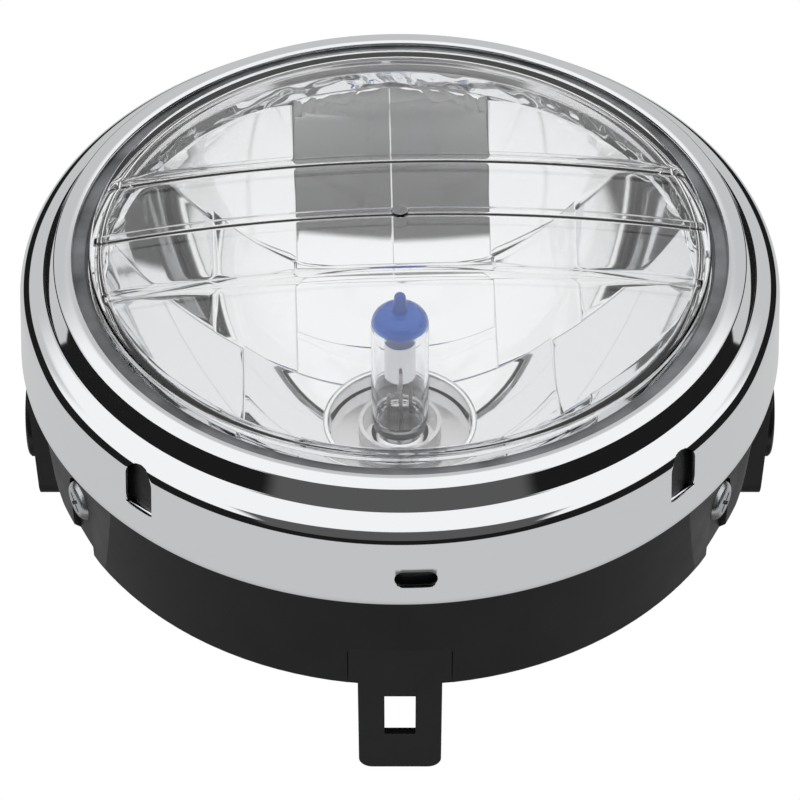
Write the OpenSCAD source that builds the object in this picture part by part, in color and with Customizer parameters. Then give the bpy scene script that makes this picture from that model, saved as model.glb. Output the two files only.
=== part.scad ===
// Round headlight for a motorcycle: a chrome-plated rim holds a clear lens and a faceted
// reflector in front of a moulded case. The lens faces -Y and +Z is up. The origin is the
// middle of the tilt axis, between the two side mounts. Millimetres.
// The pieces are drawn with the lens axis along Z, h = 0 at the front of the rim and h
// growing towards the viewer, and are then laid into this frame.

/* [Rim] */
// Diameter of the rim at the mouth of its skirt
rim_d = 199; // [190:0.5:208]
// Depth of the rim from its lip to the edge of its skirt
rim_depth = 28.9; // [27:0.1:31]
// Thickness of the rim's sheet
rim_sheet = 0.8; // [0.6:0.05:1]
// Distance of the lip's opening inside the mouth of the skirt
lip_inset = 15.5; // [15.2:0.1:15.8]
// Distance of the front band's outer edge inside the mouth of the skirt
band_inset = 10.8; // [10.6:0.1:11.2]
// Distance of the band's foot, where the ledge starts, inside the mouth of the skirt
foot_inset = 8.05; // [7.8:0.05:8.3]
// Depth of the ledge below the lip
ledge_depth = 5.6; // [5.2:0.1:6]
// Flare of the skirt from the lens axis, in degrees
skirt_flare = 6; // [5.4:0.1:6.4]
// Radius of the shoulder between ledge and skirt
shoulder_r = 1.8; // [1:0.1:2.2]
// Width of an arched window in the skirt
window_w = 8.5; // [6:0.1:10]
// Height of an arched window, to the crown of its arch
window_h = 13.5; // [10:0.1:14]
// Depth of a window's sill below the lip
window_sill = 20.6; // [20:0.1:22]
// Angle of the windows from the bottom of the rim
window_angle = 42; // [30:1:50]
// Width of the oblong slot at the bottom
drain_w = 10.3; // [6:0.1:12]
// Height of the oblong slot at the bottom
drain_h = 4.7; // [3:0.1:6]

/* [Lens] */
// Gap between the lens and the opening in the rim's lip
lens_gap = 4.3; // [3.8:0.1:4.8]
// Height of the lens edge above the rim's lip
lens_rise = 1.2; // [0.6:0.1:2]
// Height of the crown above the edge of the lens
lens_crown = 8; // [6:0.1:10]
// Thickness of the lens
lens_wall = 3; // [2.4:0.1:3.4]
// Width of the ribs across the lens
rib_w = 2.8; // [1.5:0.1:4]
// Spacing of the ribs across the lens
rib_pitch = 22; // [16:0.5:26]
// Height of the ribs above the lens
rib_rise = 0.5; // [0.3:0.05:0.8]
// Thickness of the flange that holds the lens
lens_flange_t = 3; // [2.5:0.1:3.4]

/* [Reflector] */
// Depth of the bowl from its mouth to its bottom
bowl_depth = 57.8; // [57.5:0.1:58.2]
// Distance of the bowl's mouth inside the edge of the lens
bowl_inset = 2.4; // [2:0.1:2.8]
// Thickness of the reflector's wall
reflector_wall = 3; // [2.8:0.1:3.6]
// Distance of the inner facet seams from the middle
seam_inner = 27.4; // [24:0.2:32]
// Distance of the outer facet seams from the middle
seam_outer = 49.6; // [44:0.2:54]
// Height of the lower facet seams
seam_low = 14.5; // [11:0.5:18]
// Height of the upper facet seams
seam_high = 43; // [38:0.5:47]
// Diameter of the bore for the bulb
neck_bore_d = 39; // [38.4:0.1:40]

/* [Case] */
// Depth of the whole lamp from the rim's lip to the back of the case
case_depth = 131.5; // [126:0.5:136]
// Distance of the case's rear edge inside the mouth of the rim's skirt
tail_inset = 4.7; // [4:0.1:5.5]
// Depth of the rear edge below the lip
case_tail_depth = 64; // [62:0.5:66]
// Wall thickness of the case
case_wall = 2.6; // [2.2:0.1:3]
// Slope of the conical back from the lens axis, in degrees
back_slope = 42; // [41:0.5:45]
// Radius of the rounded rear edge
edge_r = 4.5; // [3:0.1:6]
// Clearance between the case and the rim's skirt
skirt_gap = 1.3; // [1:0.1:1.6]

/* [Mounts] */
// Depth of the tilt axis behind the rim's lip
tilt_depth = 62; // [60:0.5:64]
// Distance of the side collars' faces, where the stay is clamped, outside the rim
side_proud = 1; // [0:0.1:3]
// Diameter of a side collar
collar_d = 24; // [20:0.5:26]
// Thickness of a side collar
collar_t = 2.3; // [1.5:0.1:4]
// Thread diameter of the side mounts
side_thread_d = 8; // [6:1:10]
// Length of the threaded insert in a side boss
insert_length = 14; // [10:0.5:16]
// Width of the adjusting tab
tab_w = 21; // [18:0.5:24]
// Distance of the tab's outer face inside the mouth of the rim's skirt
tab_inset = 5.3; // [4.9:0.1:5.9]
// Thickness of the tab
tab_t = 2; // [1.5:0.1:2.4]
// Depth of the free end of the tab behind the lip
tab_reach = 97; // [92:0.5:104]
// Width of the slot in the tab
tab_slot_w = 7.8; // [6:0.1:10]
// Length of the slot in the tab
tab_slot_l = 14.7; // [10:0.1:18]

/* [Fixing] */
// Angle of the rim screws from the bottom of the case
screw_angle = 61.5; // [58:0.5:64]
// Depth of the rim screws behind the lip
screw_depth = 50; // [47:0.5:52]
// Thread diameter of the rim screws
screw_d = 5; // [4:0.5:6]
// Turn of the rim, lens and reflector in the case, in degrees
unit_turn = 2.2; // [-3:0.1:3]

/* [Bulb] */
// Diameter of the bulb's glass
glass_d = 15.4; // [14:0.1:17]
// Thickness of the bulb's glass
glass_wall = 1; // [0.7:0.1:1.2]
// Diameter of the bulb's metal collar
ferrule_d = 22.5; // [21.5:0.1:23.5]
// Width of a terminal blade
blade_w = 8; // [6:0.1:8.4]

/* [Hidden] */
$fn = 144;

eps = 0.02;
fit = 0.1; // between pieces that seat on each other
slide = 0.25; // between pieces that pass each other
far = 400; // past everything

// rim
rim_r = rim_d / 2;
lip_bore_r = rim_r - lip_inset;
band_r = rim_r - band_inset;
band_foot_r = rim_r - foot_inset;
lip_edge_r = 0.7;
ledge_rise = 0.35; // the ledge climbs this much towards the shoulder
function skirt_at(h) = rim_r - (rim_depth + h) * tan(skirt_flare);
shoulder_top = -ledge_depth + ledge_rise;
sill_lip_t = 0.7;
sill_lip_reach = 1.6;
sill_lip_w = window_w - 1;
sill_lip_r = skirt_at(-window_sill) - rim_sheet - sill_lip_reach + rim_sheet / 2;

// lens and its seal
lens_r = lip_bore_r - lens_gap;
lens_ball = (pow(lens_r, 2) + pow(lens_crown, 2)) / (2 * lens_crown);
lens_pip_d = 4.2;
lens_pip_rise = 0.8;
lip_turn = 1; // the lip's edge is turned down this far
seal_top = -lip_turn - rim_sheet / 2 - fit;
seal_t = 2.2;
lens_flange_top = seal_top - seal_t;
lens_flange_back = lens_flange_top - lens_flange_t;
lens_flange_r = band_r - 1.7;
seal_gap = 0.3;

// reflector
bowl_r = lens_r - bowl_inset;
bowl_mouth = -12.1;
bowl_bottom = bowl_mouth - bowl_depth;
focal_length = pow(bowl_r, 2) / (4 * bowl_depth);
function bowl_at(r) = bowl_bottom + r * r / (4 * focal_length);
reflector_flange_r = lens_flange_r + 1.8;
reflector_flange_t = 2.8;
reflector_flange_back = lens_flange_back - reflector_flange_t;
reflector_channel_w = 1.4;
neck_r = neck_bore_d / 2;
pad_r = 30;
pad_back = bowl_bottom - 4.1;
seam_crown = 26; // the facet over the bulb ends here
seam_cheek = 42; // outer limit of the facets beside the bulb
seam_corner = seam_inner - 0.6; // the corner facets start just inside the seam below them

// case
ledge_under = -ledge_depth - rim_sheet;
case_front = ledge_under - 0.5;
belt_depth = 25;
case_front_r = skirt_at(case_front) - rim_sheet - skirt_gap;
belt_r = skirt_at(-belt_depth) - rim_sheet - skirt_gap;
case_tail_r = rim_r - tail_inset;
back_corner_r = 16;
back_flat_r = case_tail_r - (case_depth - case_tail_depth) * tan(back_slope);
function case_at(h) = case_tail_r
  + (h + case_tail_depth) * (belt_r - case_tail_r) / (case_tail_depth - belt_depth);

// side mounts
side_face = rim_r + side_proud - collar_t;
boss_half = 15;
boss_front = 38;
boss_tail = 82;
boss_corner = 7;
insert_d = side_thread_d + 5;
boss_inner = side_face - insert_length - 2.5;

collar_edge = 0.5;

// rim screws
head_d = screw_d * 2.16;
head_h = screw_d * 0.6;
land_r = case_at(-screw_depth) - 1.7;
channel_floor = land_r - 1.6;
channel_w = head_d + 1.8;
land_wall = 2.2;
land_pad_w = sqrt(pow(belt_r, 2) - pow(land_r, 2)) + 2; // half the width of the land
land_front = rim_depth - 2; // the land starts just inside the skirt
land_back = -screw_depth - 13;
arm_face = channel_floor - land_wall - fit;
arm_t = 1.2;
arm_w = 14;
nut_af = screw_d * 1.6;
nut_t = screw_d * 0.8;
head_recess_w = screw_d * 0.2;
screw_l = land_wall + arm_t + nut_t + 2;

// tab
tab_face = rim_r - tab_inset;
tab_shoulder_w = tab_w + 4.5;
tab_pocket_top = 50;
tab_root = 6;
tab_slot_top = 69;
tab_pad = 3.7;
tab_rib = 4;

// grommet
grommet_bore_d = 14;
grommet_hole_d = 22;
grommet_flange = 3;
grommet_t = 2.5;

// bulb
glass_r = glass_d / 2;
glass_top = -25.8;
glass_pinch = -64;
glass_foot = -72;
ferrule_r = ferrule_d / 2;
ferrule_t = 1.05;
ferrule_front = -66;
ferrule_back = -80;
ferrule_web = -70;
web_t = 2.5;
flange_t = 1.2;
flange_r = 21.5;
flange_key_w = 8;
flange_step_r = neck_r - 0.6;
flange_step_front = -70.6;
lamp_line = 0.8; // the filaments lie this far above the lens axis
lead_r = 0.5;
lead_x = 3;
lead_v = 1.9;
filament_r = 0.7;
filament_l = 5.4;
main_back = -56;
dip_back = -47;
shield_r = 4.2;
shield_t = 0.5;
shield_front = -35.6;
shield_back = -48;
base_front = ferrule_web - web_t - fit;
base_back = -92;
base_stem_r = 8.4;
blade_t = 0.8;
blade_root = -86;
blade_tip = -104;

// wire clip
wire_r = 0.8;
clip_plane = pad_back - flange_t - wire_r;
clip_arm = 13;
clip_hinge = -25.5;
clip_catch = 25.5;
clip_loop_r = 2.3;
clip_screw_r = 1.3;
boot_t = 1.8;

// Outlines: a corner is [r, h, radius]
function xy(p) = [p.x, p.y];
function unit(v) = v / norm(v);
function left(a, b) = let (u = unit(xy(b) - xy(a))) [-u.y, u.x];
// moves an open outline to its left by d, with mitred corners
function aside(p, d) = [for (i = [0:len(p) - 1])
  let (a = i > 0 ? left(p[i - 1], p[i]) : left(p[0], p[1]),
    b = i < len(p) - 1 ? left(p[i], p[i + 1]) : a,
    m = (a + b) / (1 + a * b),
    bend = sign(a.x * b.y - a.y * b.x))
  [p[i].x + d * m.x, p[i].y + d * m.y, p[i].z > 0 ? max(0, p[i].z - bend * d) : 0]];
// the arc that rounds the corner b between a and c
function arc(a, b, c, r, n) =
  let (u = unit(a - b), v = unit(c - b), half = acos(u * v) / 2,
    m = b + unit(u + v) * r / sin(half),
    p = b + u * r / tan(half) - m, q = b + v * r / tan(half) - m,
    s = atan2(p.y, p.x), turn = atan2(p.x * q.y - p.y * q.x, p * q))
  [for (k = [0:n]) m + r * [cos(s + turn * k / n), sin(s + turn * k / n)]];
function rounded(p, n = 6) = [for (i = [0:len(p) - 1])
  each (i == 0 || i == len(p) - 1 || p[i].z < 0.01) ? [xy(p[i])]
    : arc(xy(p[i - 1]), xy(p[i]), xy(p[i + 1]), p[i].z, n)];
function backwards(p) = [for (i = [len(p) - 1:-1:0]) p[i]];
// a strip of even thickness along an outline, on its left
module strip(p, t, n = 6) polygon(concat(rounded(p, n), backwards(rounded(aside(p, t), n))));

// Places
module aim() rotate([90, 0, 0]) translate([0, 0, tilt_depth]) children();
module turned() aim() rotate([0, 0, unit_turn]) children();
// +X points outwards at this angle from the bottom, positive to the right
module at_angle(a) rotate([0, 0, a - 90]) children();
// a rod between two points
module rod(a, b, r) {
  v = b - a;
  translate(a)
    rotate([0, acos(v.z / norm(v)), atan2(v.y, v.x)])
      cylinder(h = norm(v), r = r, $fn = 32);
}

// Rim: one pressing, with windows and a lanced sill below each
rim_line = [[lip_bore_r - 0.25, -lip_turn, 0], [lip_bore_r + 0.1, -0.25, 0.4],
  [band_r - 3.5, 0, 6], [band_r - 0.1, -0.45, lip_edge_r], [band_foot_r, -ledge_depth, 1.1],
  [skirt_at(shoulder_top), shoulder_top, shoulder_r], [rim_r, -rim_depth, 0]];
window_top = window_h - window_w / 2; // where the arch of a window starts
drain_half = (drain_w - drain_h) / 2;
module window_shape() {
  translate([-window_w / 2, 0])
    square([window_w, window_top]);
  translate([0, window_top])
    circle(d = window_w, $fn = 48);
}
module drain_shape() {
  for (side = [-1, 1])
    translate([side * drain_half, 0])
      circle(d = drain_h, $fn = 48);
  square([2 * drain_half, drain_h], center = true);
}
// an outline drawn across and along the wall, from one distance to another
module radial(from, to)
  translate([from, 0, 0])
    rotate([90, 0, 90])
      linear_extrude(to - from)
        children();
// the same, pushed through the skirt at the height of the sills
skirt_reach = 12; // to both sides of the sheet
module through_skirt()
  translate([0, 0, -window_sill])
    radial(rim_r - skirt_reach, rim_r + skirt_reach)
      children();
module rim() color("#d8dadc") turned() {
  difference() {
    rotate_extrude() strip(rim_line, -rim_sheet);
    for (side = [-1, 1])
      at_angle(side * window_angle)
        through_skirt()
          window_shape();
    at_angle(0)
      through_skirt()
        drain_shape();
  }
  for (side = [-1, 1])
    at_angle(side * window_angle)
      translate([sill_lip_r, -sill_lip_w / 2, -window_sill - sill_lip_t])
        cube([sill_lip_reach, sill_lip_w, sill_lip_t]);
}

// Lens: a crowned face with a straight side and a flange under the rim's lip
module ball_cap(extra)
  translate([0, lens_rise + lens_crown - lens_ball])
    circle(r = lens_ball + extra, $fn = 720);
module lens() color("#eef3f6", 0.5) turned() {
  difference() {
    union() {
      rotate_extrude() intersection() {
        ball_cap(0);
        translate([0, lens_flange_back]) square([lens_r, far]);
      }
      intersection() {
        rotate_extrude() intersection() {
          ball_cap(rib_rise);
          square([lens_r - 1, far]);
        }
        for (line = [-1:1])
          translate([0, line * rib_pitch, lens_rise]) cube([far, rib_w, far / 4], center = true);
      }
      translate([0, 0, lens_rise])
        cylinder(d = lens_pip_d, h = lens_crown + lens_pip_rise, $fn = 48);
      translate([0, 0, lens_flange_back]) cylinder(r = lens_flange_r, h = lens_flange_t);
    }
    rotate_extrude() intersection() {
      ball_cap(-lens_wall);
      translate([0, lens_flange_back - 1]) square([lens_r - lens_wall, far]);
    }
  }
}
module lens_seal() color("#3a3c3e") turned() rotate_extrude() polygon([
  [lens_r + seal_gap, lens_flange_top + fit / 2], [lens_flange_r, lens_flange_top + fit / 2],
  [lens_flange_r, seal_top - 0.9], [lens_flange_r - 1.6, seal_top], [lens_r + 1.1, seal_top],
  [lens_r + seal_gap, seal_top - 0.8]]);

// Reflector: each facet is a ball that touches the parabola at the middle of its cell.
// A cell is [x0, x1, v0, v1]. It is repeated on the other side of the middle, unless it
// reaches over it.
cells = [
  [0, seam_corner, seam_high, bowl_r], [-seam_inner, seam_inner, seam_crown, seam_high],
  [-seam_inner, seam_inner, seam_low, seam_crown], [seam_corner, bowl_r, seam_high, bowl_r],
  [seam_inner, seam_outer, seam_low, seam_high], [seam_outer, bowl_r, seam_low, seam_high],
  [neck_r / 2, seam_cheek, -seam_low, seam_low], [seam_cheek, bowl_r, -seam_low, seam_low]];
function sides(from) = from < 0 ? [1] : [-1, 1];
module facet(c, across, up) {
  flat = [across * (c[0] + c[1]), up * (c[2] + c[3])] / 2;
  p = flat * min(1, (bowl_r - 14) / norm(flat));
  ball = 2 * focal_length * (1 + pow(norm(p) / (2 * focal_length), 2));
  intersection() {
    translate([p.x, p.y, bowl_at(norm(p))] + ball * unit([-p.x, -p.y, 2 * focal_length]))
      sphere(r = ball, $fn = 132);
    translate([min(across * c[0], across * c[1]), min(up * c[2], up * c[3]), bowl_bottom - 5])
      cube([c[1] - c[0], c[3] - c[2], -bowl_bottom]);
  }
}
back_steps = 16;
bowl_back = [for (k = [0:back_steps])
  let (r = bowl_r * k / back_steps, slope = r / (2 * focal_length))
  [r, bowl_at(r) - reflector_wall * sqrt(1 + slope * slope)]];
channel_top = lens_flange_top - 1.2;
hook_w = 10;
hook_t = 1.4;
hook_plane = clip_plane - wire_r - hook_t; // the hook stands this far behind the pad
module reflector() color("#c9cdd1") turned() {
  difference() {
    union() {
      rotate_extrude() polygon(concat([[0, bowl_mouth], [0, bowl_back[0].y]], bowl_back,
        [[bowl_r + 1.5, reflector_flange_back], [reflector_flange_r, reflector_flange_back],
          [reflector_flange_r, channel_top],
          [reflector_flange_r - reflector_channel_w, channel_top],
          [reflector_flange_r - reflector_channel_w, lens_flange_back - fit],
          [0, lens_flange_back - fit]]));
      translate([0, 0, pad_back])
        cylinder(r = pad_r, h = 9);
      translate([0, clip_hinge, pad_back - flange_t])
        cylinder(r = clip_loop_r + wire_r, h = flange_t + 1);
      // the hook for the wire clip: a post, and a claw over the wire
      translate([-hook_w / 2, clip_catch + wire_r + fit, hook_plane])
        cube([hook_w, 1.8, pad_back - hook_plane + 1]);
      translate([-hook_w / 2, clip_catch - 2, hook_plane - fit])
        cube([hook_w, 4.6 + fit, hook_t]);
    }
    translate([0, 0, bowl_mouth - eps]) cylinder(r = bowl_r, h = far);
    intersection() {
      translate([0, 0, bowl_bottom - 1]) cylinder(r = bowl_r, h = far);
      for (c = cells, across = sides(c[0]), up = sides(c[2])) facet(c, across, up);
    }
    translate([0, 0, pad_back - 1]) cylinder(r = neck_r, h = far);
    translate([0, clip_hinge, pad_back - 2]) cylinder(r = clip_screw_r, h = 7, $fn = 32);
  }
}

// Case: a moulded bowl with side bosses, two screw lands and a pocket for the tab
case_line = [[case_front_r, case_front, 0], [belt_r, -belt_depth, 8],
  [case_tail_r, -case_tail_depth, edge_r], [back_flat_r, -case_depth, back_corner_r],
  [0, -case_depth, 0]];
module case_skin(inset)
  rotate_extrude()
    polygon(concat(rounded(aside(case_line, -inset), 8),
      [[0, case_front + 1], [case_front_r - inset, case_front + 1]]));
module boss_shape() {
  for (side = [-1, 1], end = [-boss_front - boss_corner, -boss_tail + boss_corner])
    translate([side * (boss_half - boss_corner), end]) circle(r = boss_corner, $fn = 48);
  translate([-boss_half, -boss_tail + boss_corner])
    square([2 * boss_half, boss_tail - boss_front - 2 * boss_corner]);
  translate([-boss_half + boss_corner, -boss_tail])
    square([2 * (boss_half - boss_corner), boss_tail - boss_front]);
}
module channel_shape() {
  circle(d = channel_w, $fn = 48);
  translate([-channel_w / 2, -30]) square([channel_w, 30]);
}
module case() color("#1d1e20") aim() {
  difference() {
    union() {
      difference() {
        case_skin(0);
        for (side = [-1, 1])
          at_angle(side * screw_angle)
            translate([land_r, -far / 2, -far - land_front]) cube(far);
        case_skin(case_wall);
        translate([0, 0, case_front]) cylinder(r = rim_r, h = 5);
      }
      for (side = [-1, 1]) {
        at_angle(side * 90) radial(boss_inner, side_face) boss_shape();
        intersection() {
          at_angle(side * screw_angle)
            translate([channel_floor - land_wall, -land_pad_w, land_back])
              cube([land_r - channel_floor + land_wall, 2 * land_pad_w,
                land_wall - land_front - land_back]);
          case_skin(0);
        }
      }
      intersection() {
        translate([-tab_shoulder_w / 2 - tab_rib, -tab_face - tab_rib, -case_tail_depth - 3])
          cube([tab_shoulder_w + 2 * tab_rib, tab_rib + tab_t + tab_pad,
            case_tail_depth - tab_pocket_top + tab_root + 6]);
        case_skin(0);
      }
    }
    for (side = [-1, 1]) {
      at_angle(side * screw_angle) {
        translate([0, 0, -screw_depth]) radial(channel_floor, rim_r + 10) channel_shape();
        translate([0, 0, -screw_depth]) rotate([0, 90, 0]) cylinder(d = screw_d + 2 * slide, h = far);
      }
      at_angle(side * 90) translate([boss_inner - 1, 0, -tilt_depth]) rotate([0, 90, 0])
        cylinder(d = insert_d - 3, h = far);
      at_angle(side * 90) translate([side_face - insert_length, 0, -tilt_depth]) rotate([0, 90, 0])
        cylinder(d = insert_d, h = far);
    }
    // pocket for the tab, and the blind slot that its root is moulded into
    translate([0, -tab_face + tab_t, -tab_pocket_top]) rotate([90, 0, 0])
      linear_extrude(20) pocket_shape();
    translate([-tab_w / 2, -tab_face, -tab_pocket_top - 1]) cube([tab_w, tab_t, tab_root + 1]);
    translate([0, 0, -case_depth - 5]) cylinder(d = grommet_hole_d, h = 20);
  }
}
module pocket_shape() {
  corner = 2;
  half = tab_shoulder_w / 2 + slide;
  for (side = [-1, 1])
    translate([side * (half - corner), -corner])
      circle(r = corner, $fn = 32);
  translate([-half + corner, -corner])
    square([2 * (half - corner), corner]);
  translate([-half, -30])
    square([2 * half, 30 - corner]);
}

// Tab: a steel plate moulded into the bottom of the case, with a slot for the adjusting bolt
module tab_shape() {
  corner = 3.5;
  tip = -tab_reach;
  shoulder = -case_tail_depth + 1;
  difference() {
    union() {
      translate([-tab_w / 2, -tab_pocket_top]) square([tab_w, tab_root]);
      translate([-tab_shoulder_w / 2, shoulder])
        square([tab_shoulder_w, -shoulder - tab_pocket_top - slide]);
      translate([-tab_w / 2, tip + corner])
        square([tab_w, tab_reach - corner - tab_pocket_top]);
      for (side = [-1, 1])
        translate([side * (tab_w / 2 - corner), tip + corner])
          circle(r = corner, $fn = 48);
      translate([-tab_w / 2 + corner, tip])
        square([tab_w - 2 * corner, corner]);
    }
    translate([-tab_slot_w / 2, -tab_slot_top - tab_slot_l]) square([tab_slot_w, tab_slot_l]);
  }
}
module adjuster_tab() color("#111213") aim()
  translate([0, -tab_face + tab_t, 0]) rotate([90, 0, 0]) linear_extrude(tab_t) tab_shape();

// Side mounts
module side_insert(side) color("#b8a46a") aim() at_angle(side * 90)
  translate([side_face - insert_length, 0, -tilt_depth]) rotate([0, 90, 0]) difference() {
    cylinder(d = insert_d, h = insert_length);
    translate([0, 0, -1]) cylinder(d = side_thread_d, h = insert_length + 2);
  }
module side_collar(side) color("#141516") aim() at_angle(side * 90)
  translate([side_face, 0, -tilt_depth]) rotate([0, 90, 0]) difference() {
    rotate_extrude()
      polygon([[0, 0], [collar_d / 2, 0], [collar_d / 2, collar_t - collar_edge],
        [collar_d / 2 - collar_edge, collar_t], [0, collar_t]]);
    translate([0, 0, -1]) cylinder(d = side_thread_d + 0.6, h = collar_t + 2);
  }

// Rim screws, their nuts, and the arms inside the case that carry the nuts
module rim_screw(side) color("#c6c8ca") aim() at_angle(side * screw_angle)
  translate([channel_floor, 0, -screw_depth]) rotate([0, 90, 0]) difference() {
    union() {
      rotate_extrude() polygon(concat([[0, fit / 2], [head_d / 2, fit / 2]],
        arc([head_d / 2, 0], [head_d / 2, head_h], [0, head_h], head_h * 0.7, 6), [[0, head_h]]));
      translate([0, 0, -screw_l])
        cylinder(d = screw_d, h = screw_l + 1);
    }
    for (a = [0, 90]) rotate([0, 0, a + 45])
      translate([-head_d / 4, -head_recess_w / 2, head_h - 1.5]) cube([head_d / 2, head_recess_w, 4]);
  }
module rim_nut(side) color("#a9adb0") aim() at_angle(side * screw_angle)
  translate([arm_face - arm_t - nut_t, 0, -screw_depth]) rotate([0, 90, 0]) difference() {
    rotate([0, 0, 30]) cylinder(d = nut_af / cos(30), h = nut_t, $fn = 6);
    translate([0, 0, -1]) cylinder(d = screw_d + fit / 2, h = nut_t + 2);
  }
arm_top_r = case_front_r - case_wall - slide;
arm_line = [[arm_top_r - 2.5, ledge_under - fit, 0], [arm_top_r, ledge_under - fit, 0.5],
  [arm_top_r, ledge_under - 7, 2], [arm_face, ledge_under - 13, 2],
  [arm_face, -screw_depth - 8, 0]];
module rim_arm(side) color("#9da1a5") aim() at_angle(side * screw_angle) difference() {
  rotate([90, 0, 0]) translate([0, 0, -arm_w / 2]) linear_extrude(arm_w) strip(arm_line, -arm_t, 4);
  translate([0, 0, -screw_depth]) rotate([0, 90, 0]) cylinder(d = screw_d + 2 * slide, h = far);
}

// Spring clips, welded under the ledge, that press the reflector's flange to the front
clip_w = 12;
clip_t = 0.8;
clip_foot = reflector_flange_back - clip_t - fit / 2;
clip_line = [[arm_top_r - 2.2, ledge_under - fit, 0], [arm_top_r, ledge_under - fit, 0.9],
  [arm_top_r, clip_foot, 0.9], [bowl_r + 6, clip_foot, 0]];
module unit_clip(a) color("#8d9195") turned() at_angle(a)
  rotate([90, 0, 0]) translate([0, 0, -clip_w / 2]) linear_extrude(clip_w) strip(clip_line, -clip_t, 4);

// Grommet for the wiring, in the back of the case
grommet_r = grommet_hole_d / 2 + grommet_flange;
grommet_neck_r = grommet_hole_d / 2 - fit;
case_inside = -case_depth + case_wall;
module cable_grommet() color("#18191a") aim() rotate_extrude() polygon([
  [grommet_bore_d / 2, -case_depth - grommet_t], [grommet_r - 1, -case_depth - grommet_t],
  [grommet_r, -case_depth - fit], [grommet_neck_r, -case_depth - fit],
  [grommet_neck_r, case_inside + fit], [grommet_r, case_inside + fit],
  [grommet_r - 1.5, case_inside + grommet_t], [grommet_bore_d / 2, case_inside + grommet_t]]);

// Bulb: glass with a tipped crown, sealed to its leads at the pinch
glass_tip = glass_top + 5.9; // the nipple left where the bulb was sealed
glass_line = [[glass_r - 1.2, glass_foot, 0], [glass_r, glass_pinch + 1, 3],
  [glass_r, glass_top, 4.8], [2.1, glass_top, 0.6], [1.4, glass_tip, 1.2], [0, glass_tip, 0]];
hollow_r = glass_r - glass_wall;
hollow_top = glass_top - glass_wall;
glass_hollow = [[hollow_r - 1.5, glass_pinch, 1.5], [hollow_r, glass_pinch, 1.5],
  [hollow_r, hollow_top, 4], [0, hollow_top, 0]];
module bulb_glass() color("#7fa4ef", 0.7) turned() rotate_extrude() difference() {
  polygon(concat(rounded(glass_line, 8), [[0, glass_foot]]));
  polygon(concat(rounded(glass_hollow, 8), [[0, glass_pinch]]));
}
module bulb_shield() color("#9a9c9e") turned() difference() {
  shield_l = shield_front - shield_back;
  translate([0, 0, shield_back])
    cylinder(r = shield_r, h = shield_l);
  translate([0, 0, shield_back - 1])
    cylinder(r = shield_r - shield_t, h = shield_l + 1 - shield_t);
  translate([-shield_r - 1, lamp_line, shield_back - 1])
    cube([2 * shield_r + 2, shield_r + 1, far]);
}
module filament(back) color("#8a8278") turned() translate([0, lamp_line, back]) rotate_extrude() {
  square([filament_r * 0.75, filament_l]);
  for (k = [0:8])
    translate([filament_r * 0.7, 0.4 + k * (filament_l - 0.8) / 8]) circle(d = 0.5, $fn = 24);
}
module dip_filament() filament(dip_back);
module main_filament() filament(main_back);
module bulb_leads() color("#a7a9ab") turned() {
  post_v = -shield_r - lead_r - fit / 2;
  foot = glass_pinch + fit / 2;
  split = (main_back + filament_l + dip_back) / 2;
  main_end = main_back - 0.6;
  dip_end = dip_back + filament_l + 0.6;
  wires = [[[0, post_v, foot], [0, post_v, shield_back + 5]],
    [[0, post_v, split], [0, lamp_line, split]],
    [[0, lamp_line, main_back + filament_l + fit / 2], [0, lamp_line, dip_back - fit / 2]],
    [[-lead_x, lamp_line, foot], [-lead_x, lamp_line, main_end]],
    [[-lead_x, lamp_line, main_end], [0, lamp_line, main_end]],
    [[lead_x, lead_v, foot], [lead_x, lead_v, dip_end]],
    [[lead_x, lead_v, dip_end], [0, lamp_line, dip_end]]];
  for (w = wires)
    rod(w[0], w[1], lead_r);
  translate([-lead_x, lamp_line, main_end])
    sphere(r = lead_r, $fn = 32);
  translate([lead_x, lead_v, dip_end])
    sphere(r = lead_r, $fn = 32);
}
ferrule_bore = ferrule_r - ferrule_t;
module bulb_ferrule() color("#b9bcbf") turned() rotate_extrude() polygon([
  [ferrule_bore, ferrule_front], [ferrule_r, ferrule_front], [ferrule_r, ferrule_back],
  [ferrule_bore, ferrule_back], [ferrule_bore, ferrule_web - web_t],
  [glass_r + fit, ferrule_web - web_t], [glass_r + fit, ferrule_web], [ferrule_bore, ferrule_web]]);
module bulb_flange() color("#c2c5c8") turned() difference() {
  union() {
    translate([0, 0, pad_back - flange_t])
      cylinder(r = flange_r, h = flange_t - fit / 2);
    translate([0, 0, pad_back - flange_t])
      cylinder(r = flange_step_r, h = flange_step_front - pad_back + flange_t);
    for (a = [90, 210, 330])
      rotate([0, 0, a])
        translate([flange_r - 2, -flange_key_w / 2, pad_back - flange_t])
          cube([3.2, flange_key_w, flange_t - fit / 2]);
  }
  translate([0, 0, pad_back - 5]) cylinder(r = ferrule_r + fit / 2, h = 20);
}
module blade_place(k) rotate([0, 0, 90 * k]) translate([0, k == 0 ? 6 : 5.2, 0]) children();
module blade_slot()
  translate([-(blade_w + fit) / 2, -(blade_t + fit) / 2, base_back - 1])
    cube([blade_w + fit, blade_t + fit, blade_root - base_back + 1 + fit / 2]);
module bulb_base() color("#2a2b2c") turned() difference() {
  union() {
    translate([0, 0, ferrule_back])
      cylinder(r = ferrule_bore - fit / 2, h = base_front - ferrule_back);
    translate([0, 0, base_back])
      cylinder(r = base_stem_r, h = ferrule_back - base_back + 1);
  }
  for (k = [-1:1]) blade_place(k) blade_slot();
}
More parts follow.
